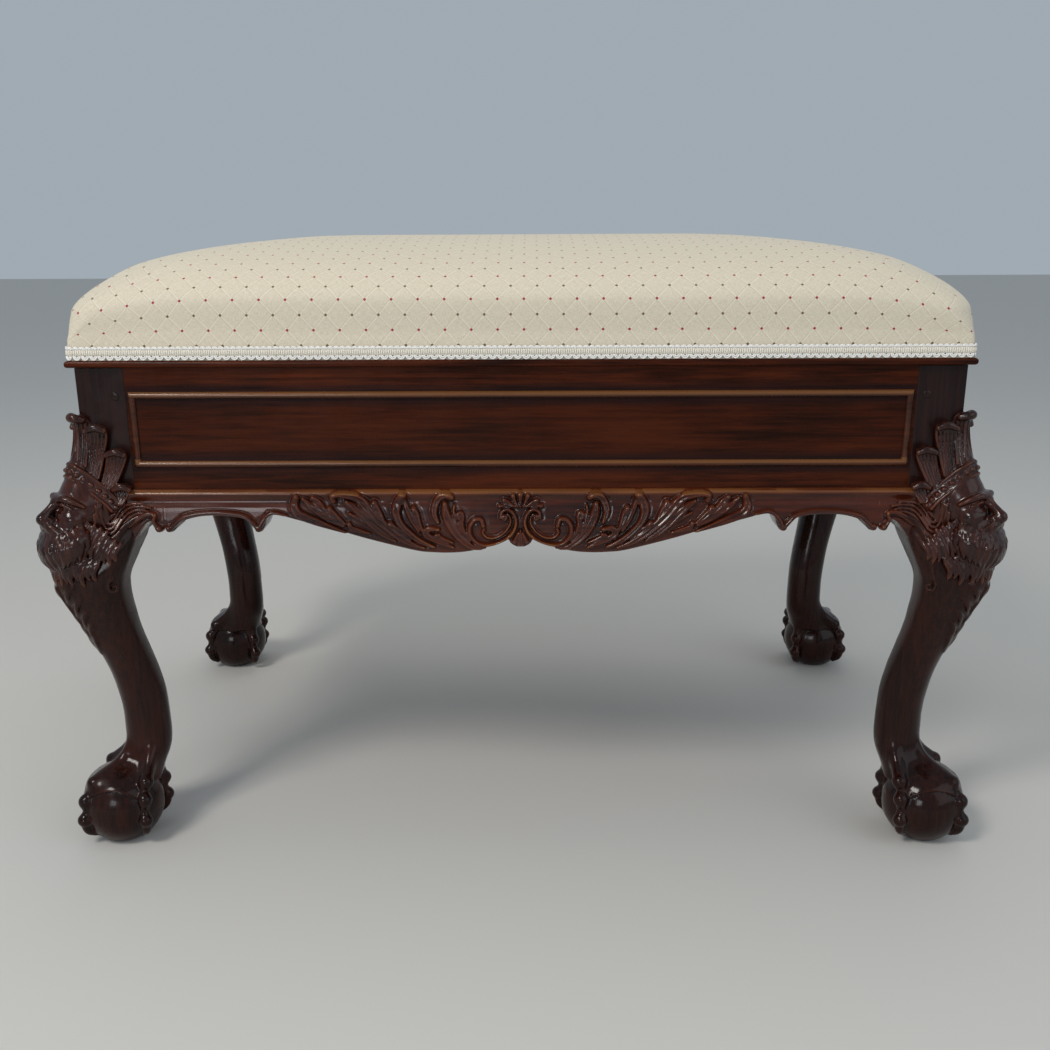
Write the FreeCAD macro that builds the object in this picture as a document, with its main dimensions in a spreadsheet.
import FreeCAD, Part
import math
import os
import re
import Sketcher
from FreeCAD import Placement, Rotation, Vector

# A carved mahogany window seat: a panelled box on four cabriole legs with masks on the knees and
# claw-and-ball feet, under an upholstered lid that is hinged at the back and opens on a storage well.
# Millimetres. X runs along the seat, the front faces -Y, Z is up, and the origin is on the floor
# under the middle of the seat.

doc = FreeCAD.newDocument("window_seat")
sheet = doc.addObject("Spreadsheet::Sheet", "Sizes")

SIZES = [
    # box
    ("box_width", 770, "outside of the box along X"),
    ("box_depth", 440, "outside of the box along Y"),
    ("box_top", 450, "floor to the top edge of the box"),
    ("rail_height", 107, "height of the four box rails"),
    ("rail_thickness", 24, "thickness of the four box rails"),
    ("post_width", 42, "side of the square post at the top of each leg"),
    ("post_below_rail", 43, "how far the square post runs on under the rails"),
    # mortise and tenon joints
    ("tenon_thickness", 9, "thickness of a tenon"),
    ("tenon_setback", 7.5, "outer face of a rail to its tenon"),
    ("tenon_shoulder", 14, "shoulder above and below a tenon"),
    ("tenon_apart", 1.5, "wood left between two tenons in a post"),
    ("mortise_play", 0.1, "room round a tenon in its mortise"),
    ("peg_diameter", 7, "oak peg through each tenon"),
    ("peg_length", 24, "length of a peg"),
    ("peg_from_shoulder", 9, "peg centre to the tenon's shoulder"),
    ("peg_from_top", 25, "peg centre to the top of the box"),
    ("peg_play", 0.1, "room round a peg in its hole"),
    # bead round the panels
    ("bead_width", 6, "width of the half-round bead"),
    ("bead_from_post", 5.5, "post to the centre of the upright bead"),
    ("bead_from_top", 24, "top of the rail to the centre of the upper bead"),
    ("bead_from_bottom", 22, "bottom of the rail to the centre of the lower bead"),
    # aprons and ears
    ("apron_thickness", 30, "thickness of an apron"),
    ("apron_reach", 8, "how far an apron stands out from the rail"),
    ("apron_drop", 55, "deepest hang of an apron"),
    ("apron_waist", 22, "hang of an apron at its shallowest"),
    ("scroll_drop", 34, "hang of an apron at its scrolls"),
    ("scroll_width", 26, "width of a scroll pair on an apron"),
    ("pendant_width", 18, "width of the drop at an apron's middle"),
    ("leaf_share", 0.685, "share of half a long apron that its leaf carving takes"),
    ("ear_length", 28, "length of the ear between a leg and an apron"),
    # cabriole leg, measured from the box corner, outwards positive
    ("knee_height", 261, "floor to the knee"),
    ("knee_width", 59, "thickness of the leg at the knee"),
    ("knee_out", 33, "how far the knee stands out from the box"),
    ("calf_height", 208, "floor to the calf"),
    ("calf_width", 46, "thickness of the leg at the calf"),
    ("calf_out", 15, "how far the calf stands out from the box"),
    ("shin_height", 163, "floor to the shin"),
    ("shin_width", 41, "thickness of the leg at the shin"),
    ("shin_out", 2, "how far the shin stands out from the box"),
    ("ankle_height", 118, "floor to the ankle"),
    ("ankle_width", 40, "thickness of the leg at the ankle"),
    ("ankle_in", 3, "how far the ankle stands in from the box"),
    ("instep_height", 78, "floor to the instep above the ball"),
    ("instep_width", 46, "thickness of the leg at the instep"),
    # claw and ball
    ("ball_radius", 38, "radius of the ball"),
    ("ball_flat", 5, "height cut off the ball where it stands"),
    ("ball_out", 1, "how far the ball's centre stands out from the box"),
    ("toe_radius", 9, "radius of a toe"),
    ("knuckle_radius", 11.5, "radius of a knuckle"),
    # mask on the knee, measured along the diagonal from the box corner
    ("face_below_rail", 11, "bottom of the rail to the middle of the face"),
    ("face_out", 14, "middle of the face, out along the diagonal"),
    ("face_depth", 26, "half the depth of the face"),
    ("face_breadth", 29, "half the breadth of the face"),
    ("face_height", 38, "half the height of the face"),
    ("nose_out", 40, "middle of the nose, out along the diagonal"),
    ("nose_radius", 8, "radius of the nose"),
    ("beard_below_rail", 54, "bottom of the rail to the middle of the beard"),
    ("beard_out", 27, "middle of the beard, out along the diagonal"),
    ("beard_depth", 24, "half the depth of the beard"),
    ("beard_breadth", 33, "half the breadth of the beard"),
    ("beard_height", 32, "half the height of the beard"),
    ("crest_rise", 72, "bottom of the rail to the tip of the tallest plume"),
    ("plume_radius", 8.5, "radius of a plume's curled tip"),
    ("plume_foot", 6, "radius of a plume at the headband"),
    ("lock_radius", 6.5, "radius of a lock of hair"),
    # storage floor
    ("floor_thickness", 9, "thickness of the floor of the well"),
    ("floor_play", 0.5, "room round the floor of the well"),
    ("ledger_side", 18, "side of the strips that carry the floor"),
    ("block_side", 18, "side of the glue blocks behind the aprons"),
    ("block_length", 45, "length of a glue block"),
    # lid frame
    ("lid_gap", 0.4, "gap between the box and the closed lid"),
    ("lid_thickness", 22, "thickness of the lid frame"),
    ("lid_rail_width", 60, "width of the lid frame's rails inside the box line"),
    ("rim_height", 6, "height of the moulded rim of the lid"),
    ("rim_reach", 6, "how far the rim stands out from the box"),
    ("rim_round", 2.6, "rounding of the rim"),
    ("board_thickness", 9, "thickness of the seat board"),
    ("board_rebate", 12, "width of the rebate that holds the seat board"),
    ("board_play", 0.5, "room round the seat board"),
    # upholstery
    ("cover_thickness", 3, "thickness of the cover with its wadding"),
    ("cover_play", 0.3, "room between cover and stuffing"),
    ("pad_bulge", 2.5, "how far the sides of the pad swell past the box cover line"),
    ("pad_side", 48, "height of the pad's upright sides above the rim"),
    ("pad_crown", 51, "rise of the crown above the sides"),
    ("pad_corner", 20, "corner radius of the pad in plan, at its shoulders"),
    ("foot_round", 1, "inside corner radius of the cover at its foot"),
    ("gimp_height", 12.5, "height of the gimp braid"),
    ("gimp_thickness", 1.8, "thickness of the gimp braid"),
    ("tack_head", 3, "radius of a tack's head"),
    ("tack_head_height", 0.6, "height of a tack's head"),
    ("tack_shank", 0.7, "radius of a tack's shank"),
    ("tack_length", 12, "length of a tack's shank"),
    ("tack_spacing", 42, "greatest spacing of the tacks"),
    # hinges
    ("hinge_length", 64, "length of a hinge along X"),
    ("hinge_from_end", 150, "end of the box to the middle of a hinge"),
    ("leaf_thickness", 2.5, "thickness of a hinge leaf"),
    ("leaf_margin", 6, "inner face of the back rail to the leaf"),
    ("barrel_radius", 4, "radius of a hinge's barrel"),
    ("barrel_apart", 1, "rim of the lid to the barrel"),
    ("barrel_play", 0.3, "gap between two knuckles of a barrel"),
    ("pin_radius", 2, "radius of a hinge pin"),
    ("pin_play", 0.05, "room round a hinge pin"),
    ("screw_radius", 1.7, "radius of a hinge screw's shank"),
    ("screw_head", 3.4, "radius of a hinge screw's head"),
    ("screw_length", 15, "length of a hinge screw"),
    ("screw_play", 0.15, "room round a hinge screw in its leaf"),
    ("screw_slot", 0.9, "width of the slot in a screw's head"),
]

for row, (alias, millimetres, note) in enumerate(SIZES, start=1):
    sheet.set(f"A{row}", note)
    sheet.set(f"B{row}", str(millimetres))
    sheet.setAlias(f"B{row}", alias)
doc.recompute()

# Places that several pieces share, worked out from the sheet.
PLACES = {
    "half_width": "box_width / 2",
    "half_depth": "box_depth / 2",
    "rail_bottom": "box_top - rail_height",
    "post_x": "half_width - post_width",
    "post_y": "half_depth - post_width",
    "well_x": "half_width - rail_thickness",
    "well_y": "half_depth - rail_thickness",
    "tenon_length": "post_width - tenon_setback - tenon_thickness - tenon_apart",
    "tenon_bottom": "rail_bottom + tenon_shoulder",
    "tenon_top": "box_top - tenon_shoulder",
    "apron_x": "post_x - ear_length",
    "apron_y": "post_y - ear_length",
    "floor_bottom": "rail_bottom + ledger_side",
    "lid_bottom": "box_top + lid_gap",
    "rim_top": "lid_bottom + rim_height",
    "lid_top": "lid_bottom + lid_thickness",
    "board_bottom": "lid_top - board_thickness",
    "lid_inner_x": "half_width - lid_rail_width",
    "lid_inner_y": "half_depth - lid_rail_width",
    "rim_x": "half_width + rim_reach",
    "rim_y": "half_depth + rim_reach",
    "axis_y": "rim_y + barrel_apart + barrel_radius",
    "axis_z": "box_top + lid_gap / 2",
    "leaf_front": "well_y + leaf_margin",
    "hinge_x": "half_width - hinge_from_end",
}
ALIASES = {alias for alias, _, _ in SIZES}


def bound(expression):
    """An expression in plain names, as one that reads the sheet's cells."""

    def expand(match):
        word = match.group()
        if word in PLACES:
            return "(" + bound(PLACES[word]) + ")"
        return "Sizes." + word if word in ALIASES else word

    return re.sub(r"\b[a-z]\w*", expand, expression)


def size(expression):
    """The value of an expression in millimetres."""
    return float(sheet.evalExpression(bound(expression)))


def block(name, low, high):
    """A box between two corners."""
    box = doc.addObject("Part::Box", name)
    for side, axis, start, end in zip(("Length", "Width", "Height"), "xyz", low, high):
        box.setExpression(side, bound(f"({end}) - ({start})"))
        box.setExpression(f"Placement.Base.{axis}", bound(start))
    return box


TURNED = {
    "+x": Rotation(Vector(0, 1, 0), 90),
    "-x": Rotation(Vector(0, 1, 0), -90),
    "+y": Rotation(Vector(1, 0, 0), -90),
    "-y": Rotation(Vector(1, 0, 0), 90),
    "+z": Rotation(),
    "-z": Rotation(Vector(1, 0, 0), 180),
}


def placed(item, start, towards):
    item.Placement = Placement(Vector(), TURNED[towards])
    for axis, place in zip("xyz", start):
        item.setExpression(f"Placement.Base.{axis}", bound(place))
    return item


def rod(name, start, towards, radius, length):
    """A cylinder from a point along an axis."""
    cylinder = doc.addObject("Part::Cylinder", name)
    cylinder.setExpression("Radius", bound(radius))
    cylinder.setExpression("Height", bound(length))
    return placed(cylinder, start, towards)


def cone(name, start, towards, radius, end_radius, length):
    """A cone from a point along an axis."""
    frustum = doc.addObject("Part::Cone", name)
    frustum.setExpression("Radius1", bound(radius))
    frustum.setExpression("Radius2", bound(end_radius))
    frustum.setExpression("Height", bound(length))
    return placed(frustum, start, towards)


def fused(name, items):
    fuse = doc.addObject("Part::MultiFuse", name)
    fuse.Shapes = items
    return fuse


def grouped(name, items):
    group = doc.addObject("Part::Compound", name)
    group.Links = items
    return group


def cut(name, base, tool):
    difference = doc.addObject("Part::Cut", name)
    difference.Base = base
    difference.Tool = tool
    return difference


def feature(name, shape, placement=None):
    """A piece whose shape is worked out in this file."""
    piece = doc.addObject("Part::Feature", name)
    piece.Shape = shape
    if placement:
        piece.Placement = placement
    return piece


def outline(body, name, role, points):
    """A closed sketch through points whose coordinates follow the sheet."""
    sketch = body.newObject("Sketcher::SketchObject", name)
    planes = [item for item in body.Origin.OriginFeatures if item.Role == role]
    sketch.AttachmentSupport = [(planes[0], "")]
    sketch.MapMode = "FlatFace"
    corners = [Vector(size(across), size(up), 0) for across, up in points]
    count = len(points)
    for index in range(count):
        sketch.addGeometry(Part.LineSegment(corners[index], corners[(index + 1) % count]))
    for index in range(count):
        sketch.addConstraint(Sketcher.Constraint("Coincident", index, 2, (index + 1) % count, 1))
    for index, (across, up) in enumerate(points):
        for axis, place, value in (("X", across, corners[index].x), ("Y", up, corners[index].y)):
            constraint = Sketcher.Constraint(f"Distance{axis}", -1, 1, index, 1, value)
            label = f"corner{index}{axis}"
            sketch.renameConstraint(sketch.addConstraint(constraint), label)
            sketch.setExpression(f"Constraints.{label}", bound(place))
    return sketch


def pad(body, name, sketch, length, midplane=False):
    feature_pad = body.newObject("PartDesign::Pad", name)
    feature_pad.Profile = sketch
    feature_pad.Midplane = midplane
    feature_pad.setExpression("Length", bound(length))
    return feature_pad


# Rails of the box, tenoned into the posts


def box_rail(name, along, side):
    """One rail with a tenon at each end; along is x or y, side is -1 or 1."""
    reach, face = ("post_x", "half_depth") if along == "x" else ("post_y", "half_width")

    def slab(part, length, outer, thickness, low, high):
        near, far = f"{face} - {outer} - {thickness}", f"{face} - {outer}"
        if side < 0:
            near, far = f"-({far})", f"-({near})"
        ends = [(f"-({length})", f"({length})"), (near, far)]
        if along == "y":
            ends.reverse()
        return block(f"{name}_{part}", (ends[0][0], ends[1][0], low), (ends[0][1], ends[1][1], high))

    board = slab("board", reach, "0", "rail_thickness", "rail_bottom", "box_top")
    tenons = slab("tenons", f"{reach} + tenon_length", "tenon_setback", "tenon_thickness", "tenon_bottom", "tenon_top")
    return fused(f"{name}_blank", [board, tenons])


def peg_rods(name, along, side, radius, length):
    """Two rods where the pegs of one rail go, from its outer face inwards."""
    rods = []
    for end in (-1, 1):
        across = f"{end} * (post_x + peg_from_shoulder)" if along == "x" else f"{side} * half_width"
        deep = f"{side} * half_depth" if along == "x" else f"{end} * (post_y + peg_from_shoulder)"
        inwards = ("+" if side < 0 else "-") + ("y" if along == "x" else "x")
        start = (across, deep, "box_top - peg_from_top")
        rods.append(rod(f"{name}_{'left' if end < 0 else 'right'}", start, inwards, radius, length))
    return rods


RAILS = {"front_rail": ("x", -1), "back_rail": ("x", 1), "left_rail": ("y", -1), "right_rail": ("y", 1)}
peg_holes = []
pegs = []
rails = {}
for rail, (along, side) in RAILS.items():
    blank = box_rail(rail, along, side)
    drills = peg_rods(f"{rail}_peg_hole", along, side, "peg_diameter / 2 + peg_play", "peg_length + peg_play")
    peg_holes += drills
    pegs += peg_rods(f"{rail}_peg", along, side, "peg_diameter / 2", "peg_length")
    rails[rail] = cut(rail, blank, grouped(f"{rail}_peg_holes", drills))
tenon_pegs = grouped("tenon_pegs", pegs)


# Half-round beads that frame a panel on each rail, mitred at the corners


def bead_strip(length):
    """A half-round strip along X, bulging towards -Y, with mitred ends that rise outwards to +Z."""
    radius = size("bead_width / 2")
    start = -length / 2 - radius
    top, crest, foot = (Vector(start, 0, radius), Vector(start, -radius, 0), Vector(start, 0, -radius))
    half_disc = Part.Face(Part.Wire([Part.Arc(top, crest, foot).toShape(), Part.LineSegment(foot, top).toShape()]))
    strip = half_disc.extrude(Vector(length + 2 * radius, 0, 0))
    for end in (-1, 1):
        tip = end * (length / 2 + radius)
        corners = [Vector(tip, 1, radius), Vector(tip, 1, -radius), Vector(tip - 2 * end * radius, 1, -radius)]
        wedge = Part.Face(Part.makePolygon(corners + corners[:1])).extrude(Vector(0, -radius - 2, 0))
        strip = strip.cut(wedge)
    return strip


def bead_frame(across):
    """Four strips round a panel, on the plane y = 0."""
    half = size("(rail_height - bead_from_top - bead_from_bottom) / 2")
    middle = size("rail_bottom + bead_from_bottom") + half
    strips = []
    for turn, length, shift in ((0, 2 * across, half), (90, 2 * half, across), (180, 2 * across, half), (270, 2 * half, across)):
        strip = bead_strip(length)
        strip.translate(Vector(0, 0, shift))
        strip.rotate(Vector(), Vector(0, 1, 0), turn)
        strip.translate(Vector(0, 0, middle))
        strips.append(strip)
    return Part.makeCompound(strips)


SIDES = {
    "front": (0, Vector(0, -size("half_depth"), 0), "x"),
    "right": (90, Vector(size("half_width"), 0, 0), "y"),
    "back": (180, Vector(0, size("half_depth"), 0), "x"),
    "left": (270, Vector(-size("half_width"), 0, 0), "y"),
}
beads = []
for side_name, (turn, place, along) in SIDES.items():
    frame = bead_frame(size(f"post_{along} - bead_from_post"))
    beads.append(feature(f"{side_name}_panel_bead", frame, Placement(place, Rotation(Vector(0, 0, 1), turn))))


# Carved aprons under the rails, and the ears that join them to the legs


def path_edges(start, steps):
    """Edges from a start through steps; a step is a corner, or the middle and the end of an arc."""
    edges = []
    here = start
    for step in steps:
        if isinstance(step, tuple):
            edges.append(Part.Arc(here, step[0], step[1]).toShape())
            here = step[1]
        else:
            edges.append(Part.LineSegment(here, step).toShape())
            here = step
    return edges


def swelled(face_wire, length):
    """An outline on y = 0 made thick, with a front that swells out and falls back towards its foot."""
    reach = size("apron_reach")
    back = size("apron_thickness") - reach
    deep = size("apron_drop") + 1
    turn = reach / 2
    slab = Part.Face(face_wire).extrude(Vector(0, back + reach, 0))
    slab.translate(Vector(0, -reach, 0))

    def at(deep_y, down):
        return Vector(-length, deep_y, -down)

    bend = turn * (1 - math.sqrt(0.5))
    steps = [
        at(turn - reach, 0),
        (at(bend - reach, bend), at(-reach, turn)),
        (at(-reach / 4, deep * 0.6), at(back * 0.2, deep)),
        at(back, deep),
        at(back, 0),
    ]
    section = Part.Face(Part.Wire(path_edges(at(back, 0), steps)))
    return slab.common(section.extrude(Vector(2 * length, 0, 0)))


def apron_shape(half_length, leaf_run):
    """An apron along X with its top at z = 0 and the rail's face on y = 0."""
    drop, waist, scroll = size("apron_drop"), size("apron_waist"), size("scroll_drop")
    width, pendant = size("scroll_width"), size("pendant_width") / 2
    arch = half_length - leaf_run - width

    def at(across, down):
        return Vector(across, 0, -down)

    steps = [
        (at(pendant * 0.8, drop - 3), at(pendant, drop - 8)),
        (at(leaf_run * 0.14, drop - 2.5), at(leaf_run * 0.28, drop)),
        (at(leaf_run * 0.6, drop - 8), at(leaf_run * 0.86, waist + 6)),
        (at(leaf_run * 0.94, waist + 2), at(leaf_run, waist)),
        (at(leaf_run + width * 0.45, scroll), at(leaf_run + width * 0.8, waist + 5)),
    ]
    if arch > width:
        steps.append((at(leaf_run + width + arch * 0.45, waist), at(half_length - width * 0.4, waist + 5)))
        steps.append((at(half_length - width * 0.15, scroll), at(half_length, waist + 6)))
    else:
        steps.append(at(half_length, waist + 3))
    right = path_edges(at(0, drop - 1), steps + [at(half_length, 0)])
    left = [edge.mirror(Vector(), Vector(1, 0, 0)) for edge in right]
    top = Part.LineSegment(at(-half_length, 0), at(half_length, 0)).toShape()
    return swelled(Part.Wire(Part.sortEdges(right + left + [top])[0]), half_length)


def ear_shape():
    """An ear along X from the leg at x = 0 to the end of an apron."""
    length, waist, foot = size("ear_length"), size("apron_waist"), size("post_below_rail")

    def at(across, down):
        return Vector(across, 0, -down)

    steps = [
        at(length, 0),
        at(length, waist + 6),
        (at(length * 0.75, waist + 9), at(length * 0.5, waist + 10)),
        (at(length * 0.2, waist + 13), at(0, foot - 1)),
        at(0, 0),
    ]
    return swelled(Part.Wire(path_edges(at(0, 0), steps)), length)


EAR_ENDS = {
    "front": ("left", "right"),
    "right": ("front", "back"),
    "back": ("right", "left"),
    "left": ("back", "front"),
}
aprons = []
ears = []
for side_name, (turn, place, along) in SIDES.items():
    half_length = size(f"apron_{along}")
    leaf_run = half_length * size("leaf_share") if along == "x" else half_length - size("scroll_width")
    lower = place + Vector(0, 0, size("rail_bottom"))
    spin = Rotation(Vector(0, 0, 1), turn)
    aprons.append(feature(f"{side_name}_apron", apron_shape(half_length, leaf_run), Placement(lower, spin)))
    for end, hand in zip((-1, 1), EAR_ENDS[side_name]):
        ear = ear_shape()
        if end > 0:
            ear = ear.mirror(Vector(), Vector(1, 0, 0))
        shift = spin.multVec(Vector(end * size(f"post_{along}"), 0, 0))
        ears.append(feature(f"{side_name}_ear_{hand}", ear, Placement(lower + shift, spin)))


# Legs: a square post, a cabriole curve, a claw and ball, and a plumed mask on the knee.
# A leg is drawn at a corner of the box, with x and y running inwards from the box's outer faces.


def square_wire(outer, width, z, rounding):
    """A rounded square from -outer to width - outer on both axes."""
    low, high, r = -outer, width - outer, rounding
    bend = r * (1 - math.sqrt(0.5))

    def at(x, y):
        return Vector(x, y, z)

    steps = [
        at(high - r, low),
        (at(high - bend, low + bend), at(high, low + r)),
        at(high, high - r),
        (at(high - bend, high - bend), at(high - r, high)),
        at(low + r, high),
        (at(low + bend, high - bend), at(low, high - r)),
        at(low, low + r),
        (at(low + bend, low + bend), at(low + r, low)),
    ]
    return Part.Wire(path_edges(at(low + r, low), steps))


def ellipsoid(centre, breadth, depth, height):
    """An ellipsoid whose depth runs along the leg's diagonal."""
    stretch = FreeCAD.Matrix()
    stretch.scale(breadth, depth, height)
    ball = Part.makeSphere(1).transformGeometry(stretch)
    ball.rotate(Vector(), Vector(0, 0, 1), -45)
    ball.translate(centre)
    return ball


def tapered(start, start_radius, end, end_radius):
    """A cone between two points with a ball at its end."""
    along = end - start
    if abs(start_radius - end_radius) < 0.01:
        shaft = Part.makeCylinder(start_radius, along.Length, start, along)
    else:
        shaft = Part.makeCone(start_radius, end_radius, along.Length, start, along)
    return [shaft, Part.makeSphere(end_radius, end)]


def diagonal(out, z, across=0):
    """A point out along the leg's diagonal and across it."""
    return Vector((across - out) / math.sqrt(2), (-across - out) / math.sqrt(2), z)


def cabriole():
    rail_bottom, post = size("rail_bottom"), size("post_width")
    shoulder = rail_bottom - size("post_below_rail")
    sections = [
        square_wire(-2, post - 4, rail_bottom, 4),
        square_wire(size("knee_out") * 0.6, size("knee_out") * 0.6 + post - 2, shoulder, 14),
        square_wire(size("knee_out"), size("knee_width"), size("knee_height"), size("knee_width") * 0.34),
        square_wire(size("calf_out"), size("calf_width"), size("calf_height"), size("calf_width") * 0.4),
        square_wire(size("shin_out"), size("shin_width"), size("shin_height"), size("shin_width") * 0.44),
        square_wire(-size("ankle_in"), size("ankle_width"), size("ankle_height"), size("ankle_width") * 0.46),
        square_wire(size("instep_width") * 0.25, size("instep_width"), size("instep_height"), size("instep_width") * 0.46),
    ]
    square_post = Part.makeBox(post, post, size("box_top") - shoulder, Vector(0, 0, shoulder))
    return [square_post, Part.makeLoft(sections, True)]


def claw_and_ball():
    radius, flat = size("ball_radius"), size("ball_flat")
    centre = diagonal(size("ball_out"), radius - flat)
    pieces = [Part.makeSphere(radius, centre)]
    instep = diagonal(-size("instep_width") * 0.3, size("instep_height"))
    toe, knuckle = size("toe_radius"), size("knuckle_radius")
    for quarter in range(4):
        heading = Rotation(Vector(0, 0, 1), 45 + 90 * quarter).multVec(Vector(1, 0, 0))

        def on_ball(angle, lift):
            tilt = math.radians(angle)
            return centre + (heading * math.sin(tilt) + Vector(0, 0, math.cos(tilt))) * (radius + lift)

        first, second, third = on_ball(38, 1), on_ball(72, 0), on_ball(104, -2)
        tip = on_ball(129, -2)
        pieces += tapered(instep, knuckle, first, knuckle)
        pieces += tapered(first, toe, second, knuckle * 0.9)
        pieces += tapered(second, toe * 0.9, third, toe)
        pieces += tapered(third, toe * 0.8, tip, toe * 0.4)
    return pieces


def mask():
    rail_bottom, post = size("rail_bottom"), size("post_width")
    face_z = rail_bottom - size("face_below_rail")
    beard_z = rail_bottom - size("beard_below_rail")
    face_out, breadth, tall = size("face_out"), size("face_breadth"), size("face_height")
    face = ellipsoid(diagonal(face_out, face_z), breadth, size("face_depth"), tall)
    brow = ellipsoid(diagonal(face_out + 3, face_z + tall * 0.55), breadth * 0.95, size("face_depth") * 0.8, tall * 0.3)
    beard_middle = diagonal(size("beard_out"), beard_z)
    beard = ellipsoid(beard_middle, size("beard_breadth"), size("beard_depth"), size("beard_height"))
    nose = size("nose_radius")
    nose_tip = diagonal(size("nose_out"), face_z - tall * 0.08)
    bridge = diagonal(size("nose_out") - nose, face_z + tall * 0.42)
    pieces = [face, brow, beard] + tapered(bridge, nose * 0.6, nose_tip, nose)
    band = size("plume_radius")
    band_z = face_z + tall * 0.85
    span = post - band - 0.5
    rise = size("crest_rise")
    plumes = [(0, 1), (0.5, 0.86), (0.92, 0.55), (1, 0.16)]
    for sideways in (False, True):
        for place, share in plumes[sideways:]:
            tip = Vector(place * span, 0, rail_bottom + rise * share - band)
            foot = Vector(place * span * 0.45 - 3, -size("plume_foot"), band_z - place * rise * 0.25)
            if sideways:
                tip, foot = Vector(tip.y, tip.x, tip.z), Vector(foot.y, foot.x, foot.z)
            pieces += tapered(foot, size("plume_foot"), tip, band)
        for drop in (0.1, 0.55):
            lock = size("lock_radius")
            root = Vector(0, -breadth * 0.8, face_z - tall * drop + 6)
            end = Vector(post - lock - 0.5, -2, face_z - tall * drop - 4)
            if sideways:
                root, end = Vector(root.y, root.x, root.z), Vector(end.y, end.x, end.z)
            pieces += tapered(root, lock, end, lock)
    return pieces


def mortises():
    post, tenon = size("post_width"), size("tenon_length")
    play = size("mortise_play")
    thick, setback = size("tenon_thickness"), size("tenon_setback")
    low, high = size("tenon_bottom") - play, size("tenon_top") + play
    peg_x = post - size("peg_from_shoulder")
    peg_z = size("box_top - peg_from_top")
    hole, deep = size("peg_diameter / 2 + peg_play"), size("peg_length + peg_play")
    tools = []
    for sideways in (False, True):
        start = Vector(post - tenon - play, setback - play, low)
        slot = Part.makeBox(tenon + play, thick + 2 * play, high - low, start)
        drill = Part.makeCylinder(hole, deep, Vector(peg_x, 0, peg_z), Vector(0, 1, 0))
        for tool in (slot, drill):
            tools.append(tool.mirror(Vector(), Vector(1, -1, 0)) if sideways else tool)
    return tools


def leg_shape():
    stem, foot, head = [pieces[0].multiFuse(pieces[1:]) for pieces in (cabriole(), claw_and_ball(), mask())]
    solid = stem.fuse(foot).fuse(head)
    post, rail_bottom = size("post_width"), size("rail_bottom")
    below = Part.makeBox(400, 400, 100, Vector(-200, -200, -100))
    inner = Part.makeBox(post, 3 * post, size("box_top"), Vector(post, -post, rail_bottom - size("apron_drop")))
    tools = [below, inner, inner.mirror(Vector(), Vector(1, -1, 0))] + mortises()
    return solid.cut(tools)


LEGS = {
    "front_left_leg": (-1, -1, 0),
    "front_right_leg": (1, -1, 90),
    "back_right_leg": (1, 1, 180),
    "back_left_leg": (-1, 1, 270),
}
carved_leg = leg_shape()
legs = []
for leg, (side_x, side_y, turn) in LEGS.items():
    corner = Vector(side_x * size("half_width"), side_y * size("half_depth"), 0)
    legs.append(feature(leg, carved_leg, Placement(corner, Rotation(Vector(0, 0, 1), turn))))


# Floor of the well, the strips that carry it, and glue blocks behind the aprons


floor_body = doc.addObject("PartDesign::Body", "well_floor")
edge_x, edge_y = "(well_x - floor_play)", "(well_y - floor_play)"
notch_x, notch_y = "(post_x - floor_play)", "(post_y - floor_play)"
floor_points = []
for sign_x, sign_y in ((1, 1), (-1, 1), (-1, -1), (1, -1)):
    turns = [
        (f"{sign_x} * {edge_x}", f"{sign_y} * {notch_y}"),
        (f"{sign_x} * {notch_x}", f"{sign_y} * {notch_y}"),
        (f"{sign_x} * {notch_x}", f"{sign_y} * {edge_y}"),
    ]
    floor_points += turns if sign_x == sign_y else turns[::-1]
floor_sketch = outline(floor_body, "well_floor_outline", "XY_Plane", floor_points)
floor_sketch.setExpression("AttachmentOffset.Base.z", bound("floor_bottom"))
pad(floor_body, "well_floor_board", floor_sketch, "floor_thickness")

ledgers = []
blocks = []
apron_back = "(apron_thickness - apron_reach)"
for side in (-1, 1):
    name = "front" if side < 0 else "back"
    near, far = f"{side} * well_y", f"{side} * (well_y - ledger_side)"
    low_y, high_y = (near, far) if side < 0 else (far, near)
    ledgers.append(block(f"{name}_ledger", ("-post_x", low_y, "rail_bottom"), ("post_x", high_y, "floor_bottom")))
    near, far = f"{side} * (half_depth - {apron_back})", f"{side} * (half_depth - {apron_back} - block_side)"
    low_y, high_y = (near, far) if side < 0 else (far, near)
    for place in (-0.62, 0, 0.62):
        middle = f"({place} * apron_x)"
        low = (f"{middle} - block_length / 2", low_y, "rail_bottom - block_side")
        blocks.append(block(f"{name}_block", low, (f"{middle} + block_length / 2", high_y, "rail_bottom")))
for side in (-1, 1):
    name = "left" if side < 0 else "right"
    near, far = f"{side} * well_x", f"{side} * (well_x - ledger_side)"
    low_x, high_x = (near, far) if side < 0 else (far, near)
    ledgers.append(block(f"{name}_ledger", (low_x, "-post_y", "rail_bottom"), (high_x, "post_y", "floor_bottom")))
    near, far = f"{side} * (half_width - {apron_back})", f"{side} * (half_width - {apron_back} - block_side)"
    low_x, high_x = (near, far) if side < 0 else (far, near)
    low = (low_x, "-block_length / 2", "rail_bottom - block_side")
    blocks.append(block(f"{name}_block", low, (high_x, "block_length / 2", "rail_bottom")))
floor_ledgers = grouped("floor_ledgers", ledgers)
glue_blocks = grouped("glue_blocks", blocks)


# Frame of the lid: four mitred rails with a moulded rim, and the seat board in their rebate


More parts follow.
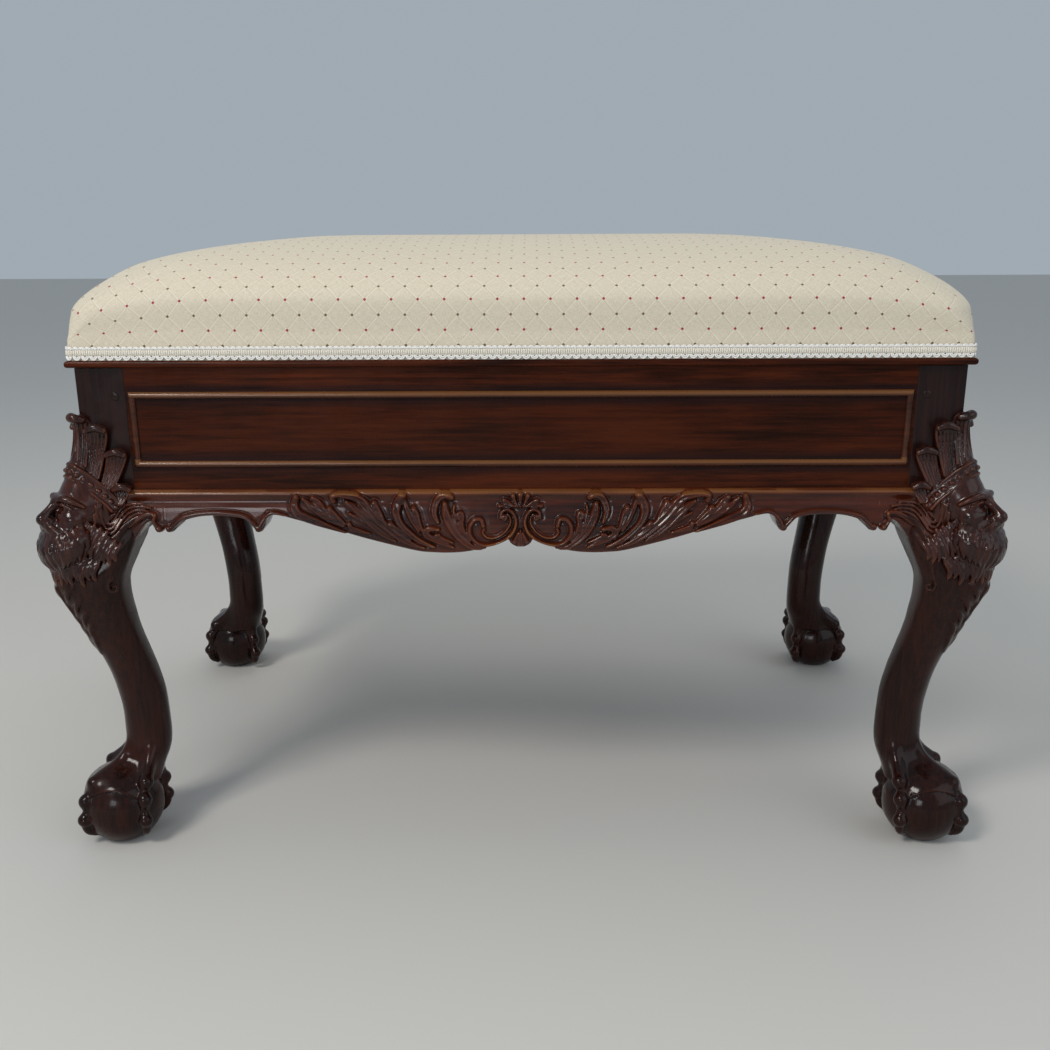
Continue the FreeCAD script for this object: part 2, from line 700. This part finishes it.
def lid_rail(name, along, side):
    body = doc.addObject("PartDesign::Body", name)
    across = "y" if along == "x" else "x"
    line = "half_depth" if along == "x" else "half_width"
    profile = [
        (f"{side} * rim_{across}", "lid_bottom"),
        (f"{side} * rim_{across}", "rim_top"),
        (f"{side} * {line}", "rim_top"),
        (f"{side} * {line}", "lid_top"),
        (f"{side} * (lid_inner_{across} + board_rebate)", "lid_top"),
        (f"{side} * (lid_inner_{across} + board_rebate)", "board_bottom"),
        (f"{side} * lid_inner_{across}", "board_bottom"),
        (f"{side} * lid_inner_{across}", "lid_bottom"),
    ]
    sketch = outline(body, f"{name}_profile", "YZ_Plane" if along == "x" else "XZ_Plane", profile)
    bar = pad(body, f"{name}_bar", sketch, f"2 * rim_{along}", midplane=True)
    doc.recompute()
    nose = side * size(f"rim_{across}")
    rim_edges = []
    for number, edge in enumerate(bar.Shape.Edges, start=1):
        middle = edge.CenterOfMass
        place = middle.y if along == "x" else middle.x
        if abs(place - nose) < 0.01 and edge.Length > size(f"2 * rim_{along}") - 1:
            rim_edges.append(f"Edge{number}")
    fillet = body.newObject("PartDesign::Fillet", f"{name}_rim")
    fillet.Base = (bar, rim_edges)
    fillet.setExpression("Radius", bound("rim_round"))
    for end in (-1, 1):
        tip = (f"{end} * (rim_{along} + 10)", f"{side} * (rim_{across} + 10)")
        heel = (f"{end} * (lid_inner_{along} - 10)", f"{side} * (lid_inner_{across} - 10)")
        corner = (tip[0], heel[1])
        points = [tip, heel, corner] if along == "x" else [place[::-1] for place in (tip, heel, corner)]
        wedge = outline(body, f"{name}_mitre_{'low' if end < 0 else 'high'}", "XY_Plane", points)
        mitre = body.newObject("PartDesign::Pocket", f"{wedge.Name}_cut")
        mitre.Profile = wedge
        mitre.Type = "ThroughAll"
        mitre.Midplane = True
    return body


lid_rails = {name: lid_rail(f"lid_{name}", *RAILS[name]) for name in RAILS if name != "back_rail"}
lid_back_blank = lid_rail("lid_back_blank", *RAILS["back_rail"])

board_x, board_y = ("(lid_inner_x + board_rebate - board_play)", "(lid_inner_y + board_rebate - board_play)")
seat_board = block("seat_board", (f"-{board_x}", f"-{board_y}", "board_bottom"), (board_x, board_y, "lid_top"))


# Hinges: brass butts let into the back rails of the box and of the lid, with five knuckles on a pin


def hinge_leaf(name, middle, low, high, own_knuckles):
    """One leaf with its knuckles, drilled for the pin and for its screws."""
    start = f"({middle} - hinge_length / 2)"
    edge = "(axis_y - barrel_radius - barrel_apart / 2)"
    plate = block(f"{name}_plate", (start, "leaf_front", low), (f"{start} + hinge_length", edge, high))
    pieces = [plate]
    for knuckle in own_knuckles:
        begin = f"({start} + hinge_length * {knuckle} / 5 + barrel_play / 2)"
        length = "(hinge_length / 5 - barrel_play)"
        tongue = block(f"{name}_tongue_{knuckle}", (begin, f"{edge} - 1", low), (f"{begin} + {length}", "axis_y", high))
        barrel = rod(f"{name}_knuckle_{knuckle}", (begin, "axis_y", "axis_z"), "+x", "barrel_radius", length)
        pieces += [tongue, barrel]
    holes = [rod(f"{name}_bore", (f"{start} - 1", "axis_y", "axis_z"), "+x", "pin_radius + pin_play", "hinge_length + 2")]
    return fused(f"{name}_blank", pieces), holes


SCREW_PLACES = (-0.33, 0, 0.33)


def screw(name, x, y, z, towards):
    """A countersunk slotted screw whose head is flush at z."""
    sign = "-" if towards == "-z" else "+"
    depth = "(screw_head - screw_radius)"
    head = cone(f"{name}_head", (x, y, z), towards, "screw_head", "screw_radius", depth)
    shank = rod(f"{name}_shank", (x, y, f"{z} {sign} {depth}"), towards, "screw_radius", f"screw_length - {depth}")
    ends = (f"{z} - screw_slot", f"{z} + screw_slot")
    slot = block(
        f"{name}_slot",
        (f"{x} - screw_head", f"{y} - screw_slot / 2", ends[0]),
        (f"{x} + screw_head", f"{y} + screw_slot / 2", ends[1]),
    )
    return cut(f"{name}_turned", fused(f"{name}_blank", [head, shank]), slot)


def countersink(name, x, y, z, towards):
    depth = "(screw_head - screw_radius)"
    wide, narrow = "screw_head + screw_play", "screw_radius + screw_play"
    sink = cone(f"{name}_sink", (x, y, z), towards, wide, narrow, depth)
    through = rod(f"{name}_through", (x, y, z), towards, narrow, "leaf_thickness")
    return [sink, through]


hinge_pieces = []
screws = {"box": [], "lid": []}
recesses = {"box": [], "lid": []}
for side in (-1, 1):
    hand = "left" if side < 0 else "right"
    middle = f"({side} * hinge_x)"
    screw_y = "((leaf_front + half_depth) / 2)"
    for owner, low, high, knuckles, seat, towards in (
        ("box", "(box_top - leaf_thickness)", "box_top", (0, 2, 4), "box_top", "-z"),
        ("lid", "lid_bottom", "(lid_bottom + leaf_thickness)", (1, 3), "lid_bottom", "+z"),
    ):
        leaf = f"{hand}_hinge_{owner}_leaf"
        blank, holes = hinge_leaf(leaf, middle, low, high, knuckles)
        for number, place in enumerate(SCREW_PLACES):
            x = f"({middle} + {place} * hinge_length)"
            holes += countersink(f"{leaf}_hole_{number}", x, screw_y, seat, towards)
            screws[owner].append(screw(f"{leaf}_screw_{number}", x, screw_y, seat, towards))
        hinge_pieces.append(cut(leaf, blank, grouped(f"{leaf}_holes", holes)))
        begin, end = (f"{middle} - hinge_length / 2", "leaf_front", low), (f"{middle} + hinge_length / 2", "rim_y + 1", high)
        recesses[owner].append(block(f"{leaf}_recess", begin, end))
    pin_start = (f"{middle} - hinge_length / 2", "axis_y", "axis_z")
    hinge_pieces.append(rod(f"{hand}_hinge_pin", pin_start, "+x", "pin_radius", "hinge_length"))
box_hinge_screws = grouped("box_hinge_screws", screws["box"])
lid_hinge_screws = grouped("lid_hinge_screws", screws["lid"])
rails["back_rail"].Label = "back_rail_plain"
rails["back_rail"] = cut("back_rail_let_in", rails["back_rail"], grouped("box_hinge_recesses", recesses["box"]))
rails["back_rail"].Label = "back_rail"
lid_rails["back_rail"] = cut("lid_back_rail", lid_back_blank, grouped("lid_hinge_recesses", recesses["lid"]))


# Upholstery: stuffing under a crowned cover, gimp braid round its foot, and the tacks behind the braid


def plan_wire(half_x, half_y, radius, z):
    """A rounded rectangle about the middle of the seat."""
    bend = radius * (1 - math.sqrt(0.5))

    def at(x, y):
        return Vector(x, y, z)

    steps = [
        at(half_x - radius, -half_y),
        (at(half_x - bend, bend - half_y), at(half_x, radius - half_y)),
        at(half_x, half_y - radius),
        (at(half_x - bend, half_y - bend), at(half_x - radius, half_y)),
        at(radius - half_x, half_y),
        (at(bend - half_x, half_y - bend), at(-half_x, half_y - radius)),
        at(-half_x, radius - half_y),
        (at(bend - half_x, bend - half_y), at(radius - half_x, -half_y)),
    ]
    return Part.Wire(path_edges(at(radius - half_x, -half_y), steps))


def cushion(inset, foot):
    """The crowned pad, drawn in by an inset all round, from a foot upwards."""
    half_x = size("half_width + cover_play + cover_thickness") - inset
    half_y = size("half_depth + cover_play + cover_thickness") - inset
    foot_corner = size("foot_round + cover_thickness") - inset
    corner, bulge = size("pad_corner") - inset, size("pad_bulge")
    side_top = size("rim_top + pad_side")
    band_top = max(size("rim_top + gimp_height"), size("lid_top")) + (side_top - size("lid_top")) * 0.1
    band = Part.Face(plan_wire(half_x, half_y, foot_corner, foot)).extrude(Vector(0, 0, band_top - foot))
    side_wires = []
    for share in (0, 0.5, 1):
        grow = bulge * math.sin(math.radians(90 * share))
        rounding = foot_corner + (corner + bulge - foot_corner) * share
        z = band_top + (side_top - band_top) * share
        side_wires.append(plan_wire(half_x + grow, half_y + grow, rounding, z))
    crown_wires = []
    for degrees in (0, 15, 30, 45, 60, 75, 84):
        turn = math.radians(degrees)
        draw = (half_y + bulge) * (1 - math.cos(turn))
        z = side_top + (size("pad_crown") - inset) * math.sin(turn)
        across, deep = half_x + bulge - draw, half_y + bulge - draw
        rounding = corner + (deep * 0.5 - corner) * (1 - math.cos(turn)) + bulge * math.cos(turn)
        crown_wires.append(plan_wire(across, deep, rounding, z))
    sides = Part.makeLoft(side_wires, True)
    crown = Part.makeLoft(crown_wires, True, False, False, 3)
    return band.multiFuse([sides, crown])


cover_inset = size("cover_thickness")
rim_top = size("rim_top")
cover_shape = cushion(0, rim_top).cut(cushion(cover_inset, rim_top - 1))
seat_cover = feature("seat_cover", cover_shape)
seat_stuffing = feature("seat_stuffing", cushion(cover_inset + size("cover_play"), size("lid_top")))


def braid():
    inner_x = size("half_width + cover_play + cover_thickness + tack_head_height")
    inner_y = size("half_depth + cover_play + cover_thickness + tack_head_height")
    corner, thick = size("foot_round + cover_thickness + tack_head_height"), size("gimp_thickness")
    up = Vector(0, 0, size("gimp_height"))
    outside = Part.Face(plan_wire(inner_x + thick, inner_y + thick, corner + thick, rim_top)).extrude(up)
    return outside.cut(Part.Face(plan_wire(inner_x, inner_y, corner, rim_top)).extrude(up))


gimp_braid = feature("gimp_braid", braid())


def tack_ring():
    """Tacks along the four sides, their heads on the cover and their shanks in the lid's rails."""
    z = rim_top + size("gimp_height") / 2
    clear = size("pad_corner") + size("tack_head")
    tacks = []
    for along, face in (("width", "depth"), ("depth", "width")):
        reach = size(f"half_{along}") - clear
        count = max(2, math.ceil(2 * reach / size("tack_spacing")) + 1)
        surface = size(f"half_{face} + cover_play + cover_thickness")
        for number in range(count):
            place = -reach + 2 * reach * number / (count - 1)
            for side in (-1, 1):
                start = Vector(place, side * surface, z) if along == "width" else Vector(side * surface, place, z)
                outwards = Vector(0, side, 0) if along == "width" else Vector(side, 0, 0)
                head = Part.makeCylinder(size("tack_head"), size("tack_head_height"), start, outwards)
                shank = Part.makeCylinder(size("tack_shank"), size("tack_length"), start, outwards * -1)
                tacks.append(head.fuse(shank))
    return Part.makeCompound(tacks)


cover_tacks = feature("cover_tacks", tack_ring())


# Checked and written

for name, piece in lid_rails.items():
    piece.Label = f"lid_{name}"
NODES = list(rails.values()) + [tenon_pegs] + beads + aprons + ears + legs
NODES += [floor_body, floor_ledgers, glue_blocks] + list(lid_rails.values()) + [seat_board]
NODES += hinge_pieces + [box_hinge_screws, lid_hinge_screws]
NODES += [seat_stuffing, seat_cover, gimp_braid, cover_tacks]
doc.recompute()

for item in doc.Objects:
    if "Invalid" in item.State or "Error" in item.State:
        raise RuntimeError(f"{item.Label} did not compute: {item.State}")
os.makedirs("parts", exist_ok=True)
for piece in NODES:
    if piece.Shape.isNull() or not piece.Shape.isValid():
        raise RuntimeError(f"{piece.Label} has no valid shape")
    piece.Shape.exportStep(f"parts/{piece.Label}.step")
    print(piece.Label, len(piece.Shape.Solids), round(piece.Shape.Volume / 1000, 1), "cm3")
